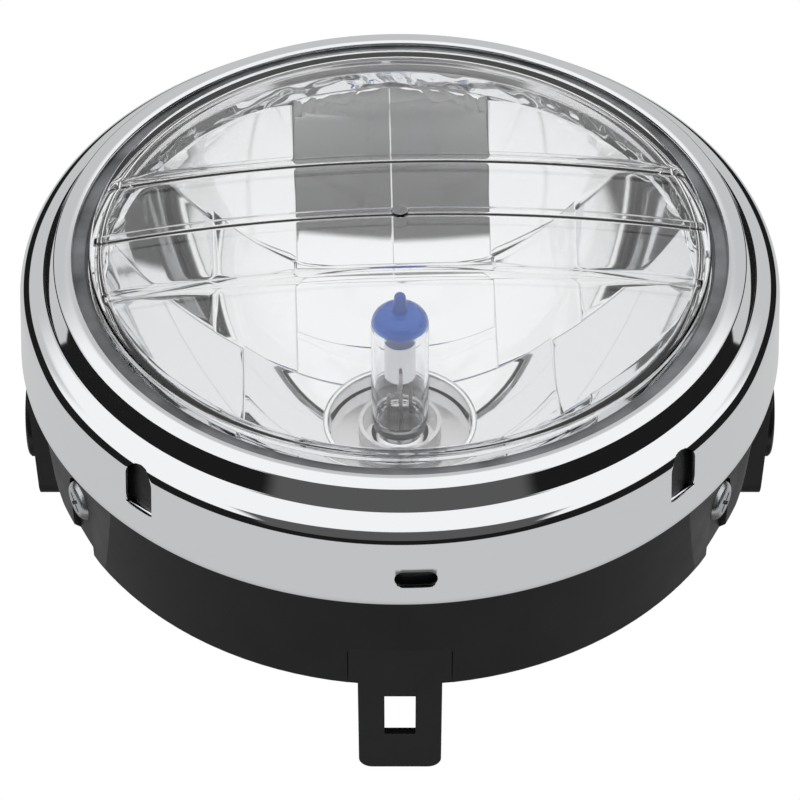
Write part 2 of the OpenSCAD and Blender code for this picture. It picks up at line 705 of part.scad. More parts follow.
module terminal(k) color("#c9b778") turned() blade_place(k) difference() {
  translate([-blade_w / 2, -blade_t / 2, blade_tip])
    cube([blade_w, blade_t, blade_root - blade_tip]);
  translate([0, 0, blade_tip + 4])
    rotate([90, 0, 0])
      cylinder(d = 2, h = 4, center = true, $fn = 32);
  for (side = [-1, 1])
    translate([side * blade_w / 2, 0, blade_tip])
      rotate([0, 45, 0])
        cube([1.6, 2, 1.6], center = true);
}

// Clip of square wire that holds the bulb, hooked at the top and screwed down at the bottom
clip_half = clip_arm + wire_r;
clip_knee = clip_hinge + 8;
wire_line = [[clip_loop_r, clip_hinge, 0], [clip_half, clip_knee, 3],
  [clip_half, clip_catch + wire_r, 5], [-clip_half, clip_catch + wire_r, 5],
  [-clip_half, clip_knee, 3], [-clip_loop_r, clip_hinge, 0]];
module bulb_clip() color("#b0b3b6") turned() translate([0, 0, clip_plane - wire_r + eps]) difference() {
  linear_extrude(2 * (wire_r - eps)) union() {
    strip(wire_line, 2 * wire_r);
    translate([0, clip_hinge]) circle(r = clip_loop_r + wire_r, $fn = 48);
  }
  translate([0, clip_hinge, -1]) cylinder(r = clip_loop_r - wire_r, h = 4, $fn = 48);
}
module bulb_clip_screw() color("#c6c8ca") turned() translate([0, clip_hinge, 0]) {
  clip_back = clip_plane - wire_r;
  translate([0, 0, clip_back - 2])
    cylinder(r = clip_loop_r + wire_r - slide, h = 2);
  translate([0, 0, clip_back - 1])
    cylinder(r = clip_screw_r - fit / 2, h = pad_back + 4.5 - clip_back + 1, $fn = 32);
}

// Rubber boot between the reflector's neck and the bulb's base
boot_line = [[pad_r + fit, pad_back + 7, 0], [pad_r + fit, pad_back - 7, 2.5], [15, pad_back - 12, 4],
  [base_stem_r + fit, pad_back - 13, 1.5], [base_stem_r + fit, base_back + 1.5, 0]];
module dust_boot() color("#202122") turned() rotate_extrude() strip(boot_line, boot_t, 5);

case();
rim();
lens();
lens_seal();
reflector();
unit_clip(0);  // unit_clip_bottom
unit_clip(90);  // unit_clip_right
unit_clip(180);  // unit_clip_top
unit_clip(-90);  // unit_clip_left
rim_arm(-1);  // rim_arm_left
rim_arm(1);  // rim_arm_right
rim_nut(-1);  // rim_nut_left
rim_nut(1);  // rim_nut_right
rim_screw(-1);  // rim_screw_left
rim_screw(1);  // rim_screw_right
side_insert(-1);  // side_insert_left
side_insert(1);  // side_insert_right
side_collar(-1);  // side_collar_left
side_collar(1);  // side_collar_right
adjuster_tab();
cable_grommet();
bulb_glass();
bulb_shield();
dip_filament();
main_filament();
bulb_leads();
bulb_ferrule();
bulb_flange();
bulb_base();
terminal(0);  // terminal_common
terminal(-1);  // terminal_main
terminal(1);  // terminal_dip
bulb_clip();
bulb_clip_screw();
dust_boot();
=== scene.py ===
import math

import bmesh
import bpy
import numpy as np
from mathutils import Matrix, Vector


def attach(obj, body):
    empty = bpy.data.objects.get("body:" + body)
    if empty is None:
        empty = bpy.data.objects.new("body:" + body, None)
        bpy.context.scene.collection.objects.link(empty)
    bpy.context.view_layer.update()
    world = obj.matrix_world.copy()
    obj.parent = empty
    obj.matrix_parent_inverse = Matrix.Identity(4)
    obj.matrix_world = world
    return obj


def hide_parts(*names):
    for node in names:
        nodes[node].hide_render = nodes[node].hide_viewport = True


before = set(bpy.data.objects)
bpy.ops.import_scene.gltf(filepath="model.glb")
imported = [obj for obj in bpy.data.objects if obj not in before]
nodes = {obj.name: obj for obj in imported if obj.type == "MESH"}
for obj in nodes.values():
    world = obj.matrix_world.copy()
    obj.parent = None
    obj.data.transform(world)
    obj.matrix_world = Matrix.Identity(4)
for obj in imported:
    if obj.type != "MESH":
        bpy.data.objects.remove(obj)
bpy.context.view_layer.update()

# the tilt axis in mm behind the rim's lip, the unit's turn in degrees, and two limits in metres:
# points nearer than merge become one, and an edge shorter than sliver goes
headlight = {"tiltDepth": 62.0, "unitTurn": 2.2, "merge": 2e-7, "sliver": 1e-8}


def laid(x, v, h):
    # the lens's frame stood up and turned with the unit: (x, v, h) goes to (x, -h - tilt depth, v),
    # in metres
    turn = math.radians(headlight["unitTurn"])
    x, v, h = np.broadcast_arrays(np.asarray(x, float), v, h)
    return np.stack([x * math.cos(turn) - v * math.sin(turn), -h - headlight["tiltDepth"],
                     x * math.sin(turn) + v * math.cos(turn)], -1) / 1000


# Outlines: a corner is (r, h, radius), and an outline runs from its first corner to its last
def unitVector(a):
    # a / |a|
    return a / max(np.linalg.norm(a), 1e-12)


def movedAside(corners, distance):
    # each corner goes to its left by the distance along the mitre of its two sides
    points = np.array([c[:2] for c in corners], float)
    steps = [unitVector(b - a) for a, b in zip(points, points[1:])]
    lefts = [np.array([-s[1], s[0]]) for s in steps]
    lefts = [lefts[0], *lefts, lefts[-1]]
    moved = []
    for k, (point, a, b) in enumerate(zip(points, lefts, lefts[1:])):
        mitre = (a + b) / (1 + a @ b)
        bend = np.sign(a[0] * b[1] - a[1] * b[0])
        radius = max(0.0, corners[k][2] - bend * distance) if corners[k][2] > 0 else 0.0
        moved.append((*(point + distance * mitre), radius))
    return moved


def roundedOutline(corners, steps=8, closed=False):
    # each corner becomes an arc that touches both of its sides: its middle lies on the bisector,
    # radius / sin(half the corner's angle) from the corner
    points = np.array([c[:2] for c in corners], float)
    line = []
    for k, corner in enumerate(corners):
        radius, ends = corner[2], k in (0, len(corners) - 1)
        if radius < 0.01 or (ends and not closed):
            line.append(points[k])
            continue
        before, after = points[k - 1], points[(k + 1) % len(corners)]
        u, w = unitVector(before - points[k]), unitVector(after - points[k])
        half = math.acos(np.clip(u @ w, -1, 1)) / 2
        middle = points[k] + unitVector(u + w) * radius / math.sin(half)
        a = points[k] + u * radius / math.tan(half) - middle
        b = points[k] + w * radius / math.tan(half) - middle
        turn = math.atan2(a[0] * b[1] - a[1] * b[0], a @ b)
        angles = math.atan2(a[1], a[0]) + turn * np.linspace(0, 1, steps + 1)
        line.extend(middle + radius * np.stack([np.cos(angles), np.sin(angles)], -1))
    return np.array(line)


def spacedOut(line, step):
    # extra points on the straight stretches of a closed outline that are longer than the step
    out = []
    for a, b in zip(line, np.roll(line, -1, 0)):
        count = max(1, int(np.ceil(np.linalg.norm(b - a) / step)))
        out.append(a + (b - a) * np.linspace(0, 1, count, endpoint=False)[:, None])
    return np.concatenate(out)


def gridFaces(rows, columns, closedRows=False, closedColumns=False):
    # the four-sided faces of a grid of points, numbered row by row
    i = np.arange(rows if closedRows else rows - 1)[:, None]
    j = np.arange(columns if closedColumns else columns - 1)[None, :]
    nextI, nextJ = (i + 1) % rows, (j + 1) % columns
    corners = [i * columns + j, nextI * columns + j, nextI * columns + nextJ, i * columns + nextJ]
    return np.stack(np.broadcast_arrays(*corners), -1).reshape(-1, 4)


def madePiece(name, parts, cadNodes, material, sharp=35.0):
    # one mesh from several (points, faces), merged where they meet, with its faces outwards
    clouds = [points.reshape(-1, 3) for points, faces in parts]
    starts = np.cumsum([0] + [len(cloud) for cloud in clouds[:-1]])
    points = np.concatenate(clouds)
    faces = np.concatenate([faces + start for (cloud, faces), start in zip(parts, starts)])
    mesh = bpy.data.meshes.new(name)
    mesh.vertices.add(len(points))
    mesh.vertices.foreach_set("co", points.astype(np.float32).ravel())
    mesh.loops.add(faces.size)
    mesh.loops.foreach_set("vertex_index", faces.astype(np.int32).ravel())
    mesh.polygons.add(len(faces))
    mesh.polygons.foreach_set("loop_start", np.arange(0, faces.size, 4, dtype=np.int32))
    mesh.update(calc_edges=True)
    work = bmesh.new()
    work.from_mesh(mesh)
    bmesh.ops.remove_doubles(work, verts=work.verts, dist=headlight["merge"])
    bmesh.ops.dissolve_degenerate(work, edges=work.edges, dist=headlight["sliver"])
    bmesh.ops.recalc_face_normals(work, faces=work.faces)
    work.to_mesh(mesh)
    work.free()
    mesh.polygons.foreach_set("use_smooth", np.ones(len(mesh.polygons), bool))
    mesh.set_sharp_from_angle(angle=math.radians(sharp))
    mesh.materials.append(material)
    piece = bpy.data.objects.new(name, mesh)
    bpy.context.scene.collection.objects.link(piece)
    if cadNodes:
        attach(piece, "root")
        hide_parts(*cadNodes)
    print(name, len(mesh.polygons), "faces")
    return piece


def spunRound(line, steps):
    # a closed outline of (r, h) turned round the axis: x = r cos a, v = r sin a
    angle = np.linspace(0, 2 * math.pi, steps, endpoint=False)[:, None]
    r, h = line[None, :, 0], line[None, :, 1]
    return laid(r * np.cos(angle), r * np.sin(angle), h), gridFaces(steps, len(line), True, True)


# Materials. Grain: how many times as wide the slow noise is as the fine one, its detail, and the
# stretches of its value that the gloss and the tint follow
grain = {"slowTimes": 40, "slowDetail": 4.0, "glossFrom": 0.3, "glossTo": 0.7, "tintFrom": 0.35,
         "tintTo": 0.65}
# The lacquer on the bulb: its edge is given in mm in front of the tilt axis
lacquer = {"edge": 32.2, "edgeWidth": 0.1, "glass": "#FDFEFF", "blue": "#3A86FF", "seeThrough": 0.35}


def linearColour(hexColour):
    # sRGB hex to linear: c / 12.92 when dark, and otherwise ((c + 0.055) / 1.055) to the power 2.4
    channels = [int(hexColour[i:i + 2], 16) / 255 for i in (1, 3, 5)]
    return [c / 12.92 if c <= 0.04045 else ((c + 0.055) / 1.055) ** 2.4 for c in channels] + [1.0]


def addNode(tree, kind, inputs=None, **settings):
    # one node with its settings; an input is a value or the output that feeds it
    node = tree.nodes.new(kind)
    for name, value in settings.items():
        setattr(node, name, value)
    for name, value in (inputs or {}).items():
        if isinstance(value, bpy.types.NodeSocket):
            tree.links.new(value, node.inputs[name])
        else:
            node.inputs[name].default_value = value
    return node


def newMaterial(name, **sockets):
    # a socket's name is given with _ where it has a space
    material = bpy.data.materials.new(name)
    material.use_nodes = True
    tree = material.node_tree
    shader = tree.nodes["Principled BSDF"]
    for socket, value in sockets.items():
        shader.inputs[socket.replace("_", " ")].default_value = value
    return material, tree, shader


def grained(tree, shader, size, height, share, low, high, detail=3.0, colours=None):
    # noise of one real size in mm gives the bump, and slow noise changes the gloss and the tint
    place = addNode(tree, "ShaderNodeTexCoord").outputs["Object"]
    fine = addNode(tree, "ShaderNodeTexNoise", {"Vector": place, "Scale": 1000 / size, "Detail": detail})
    bump = addNode(tree, "ShaderNodeBump", {"Height": fine.outputs["Fac"], "Strength": share,
                                            "Distance": height / 1000})
    tree.links.new(bump.outputs["Normal"], shader.inputs["Normal"])
    wide = size * grain["slowTimes"]
    slow = addNode(tree, "ShaderNodeTexNoise", {"Vector": place, "Scale": 1000 / wide,
                                                "Detail": grain["slowDetail"]}).outputs["Fac"]
    gloss = addNode(tree, "ShaderNodeMapRange",
                    {"Value": slow, "From Min": grain["glossFrom"], "From Max": grain["glossTo"],
                     "To Min": low, "To Max": high})
    tree.links.new(gloss.outputs["Result"], shader.inputs["Roughness"])
    if colours:
        tint = addNode(tree, "ShaderNodeValToRGB", {"Fac": slow})
        stops = zip(tint.color_ramp.elements, (grain["tintFrom"], grain["tintTo"]), colours)
        for stop, position, colour in stops:
            stop.position, stop.color = position, linearColour(colour)
        tree.links.new(tint.outputs["Color"], shader.inputs["Base Color"])


def chromedSteel():
    # bright chrome plate on a pressed and polished steel rim: a near mirror, a little wavy
    # from the pressing, with a cool white body
    material, tree, shader = newMaterial("chromedSteel", Base_Color=linearColour("#F1F2F4"),
                                         Metallic=1.0, Roughness=0.035)
    grained(tree, shader, 14.0, 0.06, share=0.12, detail=1.0, low=0.02, high=0.06)
    return material


def aluminisedReflector():
    # aluminium evaporated onto lacquered resin: a clear mirror with soft unevenness
    material, tree, shader = newMaterial("aluminisedReflector", Base_Color=linearColour("#F3F4F5"),
                                         Metallic=1.0, Roughness=0.03)
    grained(tree, shader, 9.0, 0.05, share=0.12, detail=1.0, low=0.02, high=0.05)
    return material


def pressedGlass():
    # clear pressed and fire-polished lens glass: colourless, sharp reflections
    return newMaterial("pressedGlass", Base_Color=linearColour("#FFFFFF"), Roughness=0.0, IOR=1.52,
                       Transmission_Weight=1.0)[0]


def bulbGlassLacquered():
    # drawn hard glass, its crown dipped in blue heat-proof lacquer with a sharp lower edge
    material, tree, shader = newMaterial("bulbGlassLacquered", Roughness=0.0, IOR=1.48,
                                         Transmission_Weight=1.0)
    place = addNode(tree, "ShaderNodeTexCoord").outputs["Object"]
    depth = addNode(tree, "ShaderNodeSeparateXYZ", {"Vector": place}).outputs["Y"]
    start, end = [-(lacquer["edge"] + side * lacquer["edgeWidth"] / 2) / 1000 for side in (1, -1)]
    cap = addNode(tree, "ShaderNodeMapRange", {"Value": depth, "From Min": start, "From Max": end,
                                               "To Min": 1.0, "To Max": 0.0}).outputs["Result"]
    tint = addNode(tree, "ShaderNodeMix", {"Factor": cap}, data_type="RGBA")
    tint.inputs["A"].default_value = linearColour(lacquer["glass"])
    tint.inputs["B"].default_value = linearColour(lacquer["blue"])
    clear = addNode(tree, "ShaderNodeMapRange", {"Value": cap, "To Min": 1.0,
                                                 "To Max": lacquer["seeThrough"]})
    tree.links.new(tint.outputs["Result"], shader.inputs["Base Color"])
    tree.links.new(clear.outputs["Result"], shader.inputs["Transmission Weight"])
    return material


def mouldedBlackResin():
    # black ABS from a lightly blasted mould: satin, with a fine grain and slow changes of gloss
    material, tree, shader = newMaterial("mouldedBlackResin", Base_Color=linearColour("#0E0F10"),
                                         Roughness=0.42, IOR=1.5)
    grained(tree, shader, 0.35, 0.03, share=0.45, low=0.36, high=0.5, colours=("#0B0C0D", "#121314"))
    return material


def paintedBlackSteel():
    # stove-enamelled steel plate: deep black with a faint orange peel
    material, tree, shader = newMaterial("paintedBlackSteel", Base_Color=linearColour("#0B0B0C"),
                                         Roughness=0.34, IOR=1.5)
    grained(tree, shader, 1.1, 0.03, share=0.4, low=0.28, high=0.4, colours=("#090A0A", "#111213"))
    return material


def zincPlatedSteel():
    # bright zinc on cold-headed steel: pale grey metal with fine grain
    material, tree, shader = newMaterial("zincPlatedSteel", Base_Color=linearColour("#D0D2D5"),
                                         Metallic=1.0, Roughness=0.28)
    grained(tree, shader, 0.25, 0.01, share=0.3, low=0.22, high=0.36, colours=("#BFC2C6", "#DADCDF"))
    return material


def springSteelWire():
    # drawn and tempered spring steel: darker, bluish grey with a dull shine
    material, tree, shader = newMaterial("springSteelDrawn", Base_Color=linearColour("#A3A7AC"),
                                         Metallic=1.0, Roughness=0.32)
    grained(tree, shader, 0.3, 0.01, share=0.3, low=0.26, high=0.4, colours=("#92969B", "#B2B5B9"))
    return material


def turnedBrass():
    # turned brass of the moulded-in inserts: yellow metal with a soft shine
    material, tree, shader = newMaterial("turnedBrass", Base_Color=linearColour("#C9A962"),
                                         Metallic=1.0, Roughness=0.3)
    grained(tree, shader, 0.3, 0.01, share=0.3, low=0.24, high=0.38, colours=("#BD9C55", "#D4B671"))
    return material


def stampedNickelledSteel():
    # nickelled sheet of the bulb's collar and flange: warm white metal, brightly stamped
    material, tree, shader = newMaterial("stampedNickelledSteel", Base_Color=linearColour("#D9D9D9"),
                                         Metallic=1.0, Roughness=0.16)
    grained(tree, shader, 0.8, 0.01, share=0.3, low=0.1, high=0.24, colours=("#CDCDCE", "#E3E3E4"))
    return material


def drawnTungsten():
    # drawn tungsten and molybdenum wire inside the bulb: grey metal
    material, tree, shader = newMaterial("drawnTungsten", Base_Color=linearColour("#A9A7A3"),
                                         Metallic=1.0, Roughness=0.3)
    grained(tree, shader, 0.15, 0.005, share=0.3, low=0.24, high=0.36, colours=("#9A9894", "#B6B4B1"))
    return material


def mouldedRubber():
    # black EPDM rubber from a matt mould: no clear reflections, faintly dusty
    material, tree, shader = newMaterial("mouldedRubber", Base_Color=linearColour("#1C1D1E"),
                                         Roughness=0.7, IOR=1.5)
    grained(tree, shader, 0.4, 0.03, share=0.5, low=0.62, high=0.78, colours=("#18191A", "#232425"))
    return material


def sealRubber():
    # dark grey rubber seal under the rim's lip
    material, tree, shader = newMaterial("sealRubber", Base_Color=linearColour("#515356"),
                                         Roughness=0.34, IOR=1.5)
    grained(tree, shader, 0.4, 0.03, share=0.5, low=0.28, high=0.42, colours=("#3A3C3E", "#6B6D70"))
    return material


def pressedPhenolic():
    # black phenolic resin of the bulb's base: hard, with a satin face
    material, tree, shader = newMaterial("pressedPhenolic", Base_Color=linearColour("#1B1A19"),
                                         Roughness=0.38, IOR=1.55)
    grained(tree, shader, 0.4, 0.02, share=0.4, low=0.32, high=0.46, colours=("#171615", "#211F1E"))
    return material


# The record's material slots and their finishes
finishes = {"chrome_rim": chromedSteel(), "mirror_coat": aluminisedReflector(),
            "lens_glass": pressedGlass(), "bulb_glass": bulbGlassLacquered(),
            "black_case": mouldedBlackResin(), "black_steel": paintedBlackSteel(),
            "zinc_steel": zincPlatedSteel(), "spring_steel": springSteelWire(),
            "brass_insert": turnedBrass(), "bulb_metal": stampedNickelledSteel(),
            "filament_wire": drawnTungsten(), "black_rubber": mouldedRubber(),
            "grey_seal": sealRubber(), "base_plastic": pressedPhenolic()}
for node in nodes.values():  # each CAD node takes the finish of its slot
    for slot in node.material_slots:
        slot.material = finishes[slot.material.name.split(".")[0]]
print("materials", len(finishes))

# Rim: one pressing with a rolled lip, a band, a ledge and a flared skirt, in mm and degrees
rim = {"mouthR": 99.46, "depth": 28.9, "sheet": 0.8, "flare": 4.6, "lipR": 84.0, "bandR": 88.7,
       "footR": 91.45, "ledgeDepth": 5.6, "ledgeFall": 0.75, "shoulderR": 4.5,
       "lipCutR": 0.25, "skirtCutR": 0.3,  # the rounding of the sheet's two cut edges
       "windowAngle": 42.0, "windowWidth": 8.5, "windowHeight": 13.5, "sill": 20.6,
       "drainWidth": 10.3, "drainHeight": 4.7, "burrR": 0.14, "burrAngle": 55.0,
       "foldSheet": 0.7, "foldGap": 0.45,  # the sheet folded inwards at a window's sill
       "cutIn": 6.0, "cutOut": 4.0, "spacing": 2.5, "steps": 720}


def skirtRadius(h):
    # the skirt is a cone: r = mouth - (depth + h) tan(flare)
    return rim["mouthR"] - (rim["depth"] + h) * math.tan(math.radians(rim["flare"]))


def rimOutline():
    # the outer face from the lip to the mouth, and back along the inner face, one sheet inside it
    shoulder = -rim["ledgeDepth"] - rim["ledgeFall"]
    outer = [(rim["lipR"] - 0.25, -1.0, 0),  # the lip is tucked in over the seal
             (rim["lipR"] + 0.1, -0.25, 0.4),
             (rim["bandR"] - 3.5, 0, 6),  # the crown of the band
             (rim["bandR"] - 0.1, -0.45, 0.7),
             (rim["footR"], -rim["ledgeDepth"], 1.1),
             (skirtRadius(shoulder), shoulder, rim["shoulderR"]),
             (rim["mouthR"], -rim["depth"], 0)]
    corners = outer + movedAside(outer, -rim["sheet"])[::-1]
    last = len(outer) - 1
    edges = {0: rim["lipCutR"], last: rim["skirtCutR"], last + 1: rim["skirtCutR"],
             len(corners) - 1: rim["lipCutR"]}
    corners = [(r, h, edges.get(k, radius)) for k, (r, h, radius) in enumerate(corners)]
    return spacedOut(roundedOutline(corners, 8, closed=True), rim["spacing"])


def throughSkirt(outline, angle):
    # an outline (across, along the skirt) pushed through it at an angle from the bottom:
    # x = reach cos a - across sin a, v = reach sin a + across cos a
    a = math.radians(angle - 90)
    reach = np.array([skirtRadius(-rim["sill"]) - rim["cutIn"], rim["mouthR"] + rim["cutOut"]])[:, None]
    across, h = outline[None, :, 0], outline[None, :, 1]
    return laid(reach * math.cos(a) - across * math.sin(a), reach * math.sin(a) + across * math.cos(a),
                h - rim["sill"]).reshape(-1, 3)


def cutterFor(outlines):
    # a closed prism for each outline: its two ends, and the faces between them
    points, faces = np.zeros((0, 3)), []
    for outline, angle in outlines:
        near = len(points) + np.arange(len(outline))
        far, after = near + len(outline), np.roll(near, -1)
        points = np.concatenate([points, throughSkirt(outline, angle)])
        faces += [near.tolist(), far[::-1].tolist()]
        faces += np.stack([near, far, after + len(outline), after], -1).tolist()
    mesh = bpy.data.meshes.new("windowCutter")
    mesh.from_pydata(points.tolist(), [], faces)
    work = bmesh.new()
    work.from_mesh(mesh)
    bmesh.ops.recalc_face_normals(work, faces=work.faces)
    work.to_mesh(mesh)
    work.free()
    return bpy.data.objects.new("windowCutter", mesh)


def appliedModifiers(piece):
    # the piece's mesh becomes what its modifiers make of it
    graph = bpy.context.evaluated_depsgraph_get()
    mesh = bpy.data.meshes.new_from_object(piece.evaluated_get(graph))
    piece.modifiers.clear()
    piece.data = mesh


def sillLip(angle):
    # the sheet lanced out of the window and folded inwards along its sill: a path of (r, h) given
    # a thickness, run across the window at an angle from the bottom
    path = np.array([[0.35, -0.35], [-0.2, 0.0], [-0.9, 0.12], [-1.6, 0.1], [-2.1, -0.05]])
    path = path + [skirtRadius(-rim["sill"]) - rim["sheet"] / 2, -rim["sill"]]
    along = np.gradient(path, axis=0)
    side = np.stack([-along[:, 1], along[:, 0]], -1)
    side /= np.linalg.norm(side, axis=1)[:, None]
    ring = np.concatenate([path, (path + side * rim["foldSheet"])[::-1]])
    half = rim["windowWidth"] / 2 - rim["foldGap"]
    across = np.array([-half, -half + 0.15, half - 0.15, half])[:, None]
    narrowed = np.array([0.12, 0, 0, 0.12])[:, None, None]  # both ends are eased
    ring = ring[None] + (ring.mean(0) - ring)[None] * narrowed
    a = math.radians(angle - 90)
    r, h = ring[..., 0], ring[..., 1]
    points = laid(r * math.cos(a) - across * math.sin(a), r * math.sin(a) + across * math.cos(a), h)
    count = len(path) * 2
    k = np.arange(len(path) - 1)
    caps = np.stack([k, k + 1, count - 2 - k, count - 1 - k], -1)
    faces = [gridFaces(4, count, False, True), caps, caps[:, ::-1] + 3 * count]
    return points, np.concatenate(faces)


def makeRim():
    # the outline turned round, with two arched windows and a drain slot cut through the skirt
    arch = np.linspace(0, math.pi, 25)
    half = rim["windowWidth"] / 2
    top = np.stack([half * np.cos(arch), rim["windowHeight"] - half + half * np.sin(arch)], -1)
    window = np.concatenate([[[-half, 0], [half, 0]], top])
    end = np.linspace(-math.pi / 2, math.pi / 2, 17)
    endR, middle = rim["drainHeight"] / 2, (rim["drainWidth"] - rim["drainHeight"]) / 2
    right = np.stack([middle + endR * np.cos(end), endR * np.sin(end)], -1)
    drain = np.concatenate([right, -right])
    chrome, angle = finishes["chrome_rim"], rim["windowAngle"]
    piece = madePiece("rimChromed", [spunRound(rimOutline(), rim["steps"])], ["rim"], chrome)
    cutter = cutterFor([(window, angle), (window, -angle), (drain, 0.0)])
    bpy.context.scene.collection.objects.link(cutter)
    cut = piece.modifiers.new("windows", "BOOLEAN")
    cut.operation, cut.object, cut.solver = "DIFFERENCE", cutter, "EXACT"
    soften = piece.modifiers.new("windowEdges", "BEVEL")
    soften.width, soften.segments = rim["burrR"] / 1000, 2
    soften.limit_method, soften.angle_limit = "ANGLE", math.radians(rim["burrAngle"])
    appliedModifiers(piece)
    bpy.data.objects.remove(cutter)
    lips = madePiece("rimSillLips", [sillLip(angle), sillLip(-angle)], [], chrome)
    work = bmesh.new()
    work.from_mesh(piece.data)
    work.from_mesh(lips.data)
    work.to_mesh(piece.data)
    work.free()
    bpy.data.objects.remove(lips)
    piece.data.set_sharp_from_angle(angle=math.radians(40))
    print("rim with windows,", len(piece.data.polygons), "faces")


makeRim()

# Lens: a crowned face with three ribs and a small pip, a straight side and a flange, in mm
lens = {"r": 79.7, "rise": 1.2, "crown": 8.0, "wall": 3.0, "edgeR": 1.0, "hollowR": 1.2,
        "ribWidth": 2.8, "ribPitch": 22.0, "ribRise": 0.5, "ribSlope": 1.2, "ribFade": 1.2,
        "pipD": 4.2, "pipRise": 0.8, "pipSlope": 0.3,
        "flangeR": 87.0, "flangeFront": -3.7, "flangeBack": -6.7,
        "rows": 181, "columns": 121, "leastStep": 0.0002}  # the grid; the step is a share of r


def smoothStep(t):
    # 3 t^2 - 2 t^3, held at 0 and 1 outside them
    t = np.clip(t, 0, 1)
    return t * t * (3 - 2 * t)


def acrossPip():
    # even steps of 0.2 mm over the pip and its edge
    return np.linspace(-2.6, 2.6, 27)


def rowShares():
    # rows of constant v, as shares of the radius: even round the border, and close together
    # along both edges of each rib and over the pip
    near = np.array([-0.22, -0.14, -0.06, 0.02, 0.1, 0.18])
    marks = [line * lens["ribPitch"] + side * (lens["ribWidth"] / 2 + near) for line in (-1, 0, 1)
             for side in (-1, 1)]
    even = np.sin(np.linspace(-math.pi / 2, math.pi / 2, lens["rows"]))
    extra = np.concatenate([*marks, acrossPip()]) / lens["r"]
    shares = np.sort(np.concatenate([even, extra]))
    return shares[np.concatenate([[True], np.diff(shares) > lens["leastStep"]])]


def lensFace(radius, ball, top, relief):
    # the ball's cap: h = top - ball + sqrt(ball^2 - x^2 - v^2), with the ribs and pip added
    v = radius * rowShares()[:, None]
    share = np.sin(np.linspace(-math.pi / 2, math.pi / 2, lens["columns"]))
    share = np.sort(np.concatenate([share, acrossPip() / radius]))[None, :]
    x = share * np.sqrt(np.maximum(radius ** 2 - v ** 2, 0))
    h = top - ball + np.sqrt(ball ** 2 - x ** 2 - v ** 2)
    if relief:
        fade = smoothStep((radius - 0.2 - np.hypot(x, v)) / lens["ribFade"])
        for line in (-1, 0, 1):
            inside = (lens["ribWidth"] / 2 - np.abs(v - line * lens["ribPitch"])) / lens["ribSlope"]
            h = h + lens["ribRise"] * smoothStep(inside + 0.5) * fade
        pip = smoothStep((lens["pipD"] / 2 - np.hypot(x, v)) / lens["pipSlope"] + 0.5)
        h = np.maximum(h, (top + lens["pipRise"]) * pip + h * (1 - pip))
    return x, v + 0 * x, h


def rimOfGrid(rows, columns):
    # the numbers of the grid's outer points, once round
    left = np.arange(rows) * columns
    return np.concatenate([left + columns - 1, left[::-1][1:-1]])


def makeLens():
    # two caps of concentric balls, joined by a side that goes from the outer cap's border over a
    # rounded edge, down, round the flange and up the inside
    top = lens["rise"] + lens["crown"]
    ball = (lens["r"] ** 2 + lens["crown"] ** 2) / (2 * lens["crown"])
    faceR, innerR, hollowR = lens["r"] - lens["edgeR"], lens["r"] - lens["wall"], lens["hollowR"]
    x, v, h = lensFace(faceR, ball, top, True)
    xi, vi, hi = lensFace(innerR - hollowR, ball - lens["wall"], top - lens["wall"], False)
    rows, columns = x.shape
    a = np.linspace(0, math.pi / 2, 6)[1:]
    edgeH = top - ball + math.sqrt(ball ** 2 - faceR ** 2)
    innerH = top - ball + math.sqrt((ball - lens["wall"]) ** 2 - innerR ** 2)
    outside = np.stack([faceR + lens["edgeR"] * np.sin(a), edgeH - lens["edgeR"] * (1 - np.cos(a))], -1)
    corners = [(lens["r"], edgeH - lens["edgeR"] - 0.2, 0), (lens["r"], lens["flangeFront"], 0.5),
               (lens["flangeR"], lens["flangeFront"], 0.3), (lens["flangeR"], lens["flangeBack"], 0.3),
               (innerR, lens["flangeBack"], 0.4), (innerR, innerH, hollowR),
               (innerR - hollowR - 0.1, hi[rows // 2, 0], 0)]
    path = np.concatenate([outside, roundedOutline(corners, 5)[:-1]])
    border = rimOfGrid(rows, columns)
    angle = np.arctan2(v, x).ravel()[border]
    side = laid(path[:, :1] * np.cos(angle), path[:, :1] * np.sin(angle), path[:, 1:])
    count, sideBase = len(border), rows * columns
    innerBase, lastRow = sideBase + len(path) * count, sideBase + (len(path) - 1) * count
    k = np.arange(count)
    after = (k + 1) % count
    joinTop = np.stack([border, sideBase + k, sideBase + after, border[after]], -1)
    joinInner = np.stack([lastRow + k, innerBase + border, innerBase + border[after], lastRow + after], -1)
    points = np.concatenate([p.reshape(-1, 3) for p in (laid(x, v, h), side, laid(xi, vi, hi))])
    cap = gridFaces(rows, columns)
    strips = gridFaces(len(path), count, False, True)
    faces = np.concatenate([cap, strips + sideBase, cap[:, ::-1] + innerBase, joinTop, joinInner])
    madePiece("lensPressed", [(points, faces)], ["lens"], finishes["lens_glass"], sharp=40.0)


makeLens()

# Reflector: each facet is a ball that touches the parabola h = bottom + r^2 / (4 focal) at the
# middle of its cell; the cells are the same as the solid's. Sizes in mm
reflector = {"bowlDepth": 57.8, "mouthDepth": 12.1, "mouthR": 77.3, "wall": 3.0, "neckR": 19.5, "steps": 28,
             "inner": 27.4, "outer": 49.6, "corner": 26.8, "low": 14.5, "high": 43.0, "crown": 26.0,
             "cheek": 42.0, "farthest": 14.0, "bevel": 0.45, "bevelDrop": 0.16, "leastWall": 0.8,
             "flangeR": 88.8, "flangeTop": -4.9, "flangeBack": -9.5, "seatR": 87.3, "seatTop": -6.85,
             "wallTop": -11.9, "wallBack": -14.5, "ringSpacing": 1.2, "ringSteps": 360,
             "waves": (0.3, 0.22, 0.1), "neckRise": 0.9, "padR": 30.0, "padTop": -69.5, "padBack": -74.0,
             "neckSpacing": 3.0, "neckSteps": 144}
